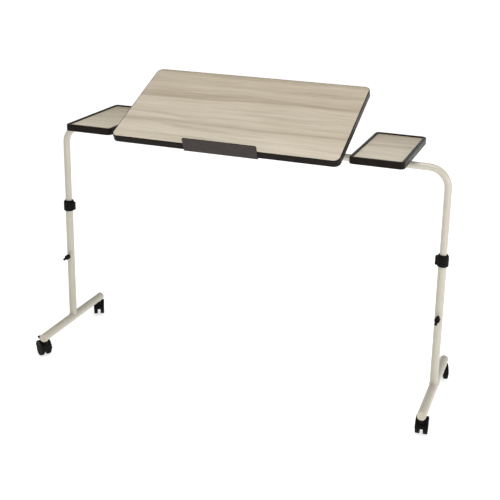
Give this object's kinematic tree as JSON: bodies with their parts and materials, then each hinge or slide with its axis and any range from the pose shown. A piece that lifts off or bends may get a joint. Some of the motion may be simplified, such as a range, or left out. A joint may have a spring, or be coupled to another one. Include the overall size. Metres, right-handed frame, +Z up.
{
  "type": "overbed table",
  "caption": "Bridging overbed table on casters: height-adjustable bent-tube frame, tilting wood-look panel with a book stop, and a rimmed side tray at each end.",
  "frame": {"origin": "on the floor, in the middle of the footprint, 12 mm behind the plane of the legs and 13.5 mm left of the middle between them", "axes": "+X along the bridging tube to the user's right, +Y from the book stop's edge to the back, +Z up"},
  "size_m": [1.3632, 0.4332, 0.9682],
  "materials": {
    "painted_steel": "cream powder coat, satin",
    "cream_plastic": "moulded, matched to the frame",
    "black_plastic": "fine moulded grain",
    "black_rim": "satin moulded edging",
    "wood_laminate": "pale greige wood-grain laminate, grain along X",
    "caster_tread": "matt",
    "zinc_steel": "zinc plated",
    "nylon": "natural nylon",
    "rubber_pad": "matt"
  },
  "bodies": {
    "left_base": {"left_base_bar": "painted_steel", "left_bar_end_plugs": "cream_plastic", "left_lower_tube": "painted_steel", "left_collar": "black_plastic"},
    "left_knob": {"left_height_knob": "black_plastic", "left_knob_stud": "zinc_steel"},
    "right_base": {"right_base_bar": "painted_steel", "right_bar_end_plugs": "cream_plastic", "right_lower_tube": "painted_steel", "right_collar": "black_plastic"},
    "right_knob": {"right_height_knob": "black_plastic", "right_knob_stud": "zinc_steel"},
    "top": {"left_upper_tube": "painted_steel", "left_cross_arm": "painted_steel", "left_hinge_lug": "zinc_steel", "left_tray_rim": "black_rim", "left_tray_board": "wood_laminate", "left_tray_bracket": "zinc_steel", "right_upper_tube": "painted_steel", "right_cross_arm": "painted_steel", "right_hinge_lug": "zinc_steel", "right_tray_rim": "black_rim", "right_tray_board": "wood_laminate", "right_tray_bracket": "zinc_steel", "tube_joiner": "zinc_steel", "tube_glides": "nylon", "arm_end_caps": "black_plastic", "tube_saddles": "zinc_steel", "frame_screws": "zinc_steel", "tray_screws": "zinc_steel", "rest_pads": "rubber_pad"},
    "panel": {"panel_board": "wood_laminate", "panel_edge_band": "black_rim", "book_stop": "black_plastic", "hinge_bolts": "zinc_steel", "panel_screws": "zinc_steel", "left_hinge_leaf": "zinc_steel", "right_hinge_leaf": "zinc_steel"},
    "front_left_caster": {"front_left_caster_hood": "black_plastic", "front_left_caster_stem": "zinc_steel", "front_left_caster_axle": "zinc_steel"},
    "front_left_inner_wheel": {"front_left_inner_wheel": "caster_tread"},
    "front_left_outer_wheel": {"front_left_outer_wheel": "caster_tread"},
    "front_left_pedal": {"front_left_brake_pedal": "black_plastic"},
    "front_right_caster": {"front_right_caster_hood": "black_plastic", "front_right_caster_stem": "zinc_steel", "front_right_caster_axle": "zinc_steel"},
    "front_right_inner_wheel": {"front_right_inner_wheel": "caster_tread"},
    "front_right_outer_wheel": {"front_right_outer_wheel": "caster_tread"},
    "front_right_pedal": {"front_right_brake_pedal": "black_plastic"},
    "rear_left_caster": {"rear_left_caster_hood": "black_plastic", "rear_left_caster_stem": "zinc_steel", "rear_left_caster_axle": "zinc_steel"},
    "rear_left_inner_wheel": {"rear_left_inner_wheel": "caster_tread"},
    "rear_left_outer_wheel": {"rear_left_outer_wheel": "caster_tread"},
    "rear_right_caster": {"rear_right_caster_hood": "black_plastic", "rear_right_caster_stem": "zinc_steel", "rear_right_caster_axle": "zinc_steel"},
    "rear_right_inner_wheel": {"rear_right_inner_wheel": "caster_tread"},
    "rear_right_outer_wheel": {"rear_right_outer_wheel": "caster_tread"}
  },
  "joints": [
    {"name": "height", "type": "slide", "parent": "left_base", "child": "top", "axis": [0, 0, 1], "range_m": [-0.12, 0.075]},
    {"name": "right_height", "type": "slide", "parent": "top", "child": "right_base", "axis": [0, 0, 1], "range_m": [-0.075, 0.12]},
    {"name": "panel_tilt", "type": "hinge", "parent": "top", "child": "panel", "pos_m": [0.0135, -0.1706, 0.7979], "axis": [1, 0, 0], "range_deg": [-24.5, 20.5]},
    {"name": "left_knob_turn", "type": "hinge", "parent": "left_base", "child": "left_knob", "pos_m": [-0.6335, -0.0275, 0.306], "axis": [0, -1, 0], "range_deg": [0, 540]},
    {"name": "right_knob_turn", "type": "hinge", "parent": "right_base", "child": "right_knob", "pos_m": [0.6605, -0.0275, 0.306], "axis": [0, -1, 0], "range_deg": [0, 540]},
    {"name": "front_left_swivel", "type": "hinge", "parent": "left_base", "child": "front_left_caster", "pos_m": [-0.6335, -0.1895, 0.057], "axis": [0, 0, 1], "continuous": true},
    {"name": "front_left_inner_roll", "type": "hinge", "parent": "front_left_caster", "child": "front_left_inner_wheel", "pos_m": [-0.64824, -0.17918, 0.025], "axis": [-0.5736, -0.8192, 0], "continuous": true},
    {"name": "front_left_outer_roll", "type": "hinge", "parent": "front_left_caster", "child": "front_left_outer_wheel", "pos_m": [-0.64824, -0.17918, 0.025], "axis": [-0.5736, -0.8192, 0], "continuous": true},
    {"name": "front_left_brake", "type": "hinge", "parent": "front_left_caster", "child": "front_left_pedal", "pos_m": [-0.65807, -0.17229, 0.046], "axis": [-0.5736, -0.8192, 0], "range_deg": [0, 12]},
    {"name": "front_right_swivel", "type": "hinge", "parent": "right_base", "child": "front_right_caster", "pos_m": [0.6605, -0.1895, 0.057], "axis": [0, 0, 1], "continuous": true},
    {"name": "front_right_inner_roll", "type": "hinge", "parent": "front_right_caster", "child": "front_right_inner_wheel", "pos_m": [0.65893, -0.17157, 0.025], "axis": [-0.9962, -0.0872, 0], "continuous": true},
    {"name": "front_right_outer_roll", "type": "hinge", "parent": "front_right_caster", "child": "front_right_outer_wheel", "pos_m": [0.65893, -0.17157, 0.025], "axis": [-0.9962, -0.0872, 0], "continuous": true},
    {"name": "front_right_brake", "type": "hinge", "parent": "front_right_caster", "child": "front_right_pedal", "pos_m": [0.65789, -0.15961, 0.046], "axis": [-0.9962, -0.0872, 0], "range_deg": [0, 12]},
    {"name": "rear_left_swivel", "type": "hinge", "parent": "left_base", "child": "rear_left_caster", "pos_m": [-0.6335, 0.1655, 0.057], "axis": [0, 0, 1], "continuous": true},
    {"name": "rear_left_inner_roll", "type": "hinge", "parent": "rear_left_caster", "child": "rear_left_inner_wheel", "pos_m": [-0.6425, 0.18109, 0.025], "axis": [-0.866, -0.5, 0], "continuous": true},
    {"name": "rear_left_outer_roll", "type": "hinge", "parent": "rear_left_caster", "child": "rear_left_outer_wheel", "pos_m": [-0.6425, 0.18109, 0.025], "axis": [-0.866, -0.5, 0], "continuous": true},
    {"name": "rear_right_swivel", "type": "hinge", "parent": "right_base", "child": "rear_right_caster", "pos_m": [0.6605, 0.1655, 0.057], "axis": [0, 0, 1], "continuous": true},
    {"name": "rear_right_inner_roll", "type": "hinge", "parent": "rear_right_caster", "child": "rear_right_inner_wheel", "pos_m": [0.65494, 0.18262, 0.025], "axis": [-0.9511, -0.309, 0], "continuous": true},
    {"name": "rear_right_outer_roll", "type": "hinge", "parent": "rear_right_caster", "child": "rear_right_outer_wheel", "pos_m": [0.65494, 0.18262, 0.025], "axis": [-0.9511, -0.309, 0], "continuous": true}
  ],
  "couplings": [
    {"joint": "right_height", "follows": "height", "ratio": -1}
  ]
}
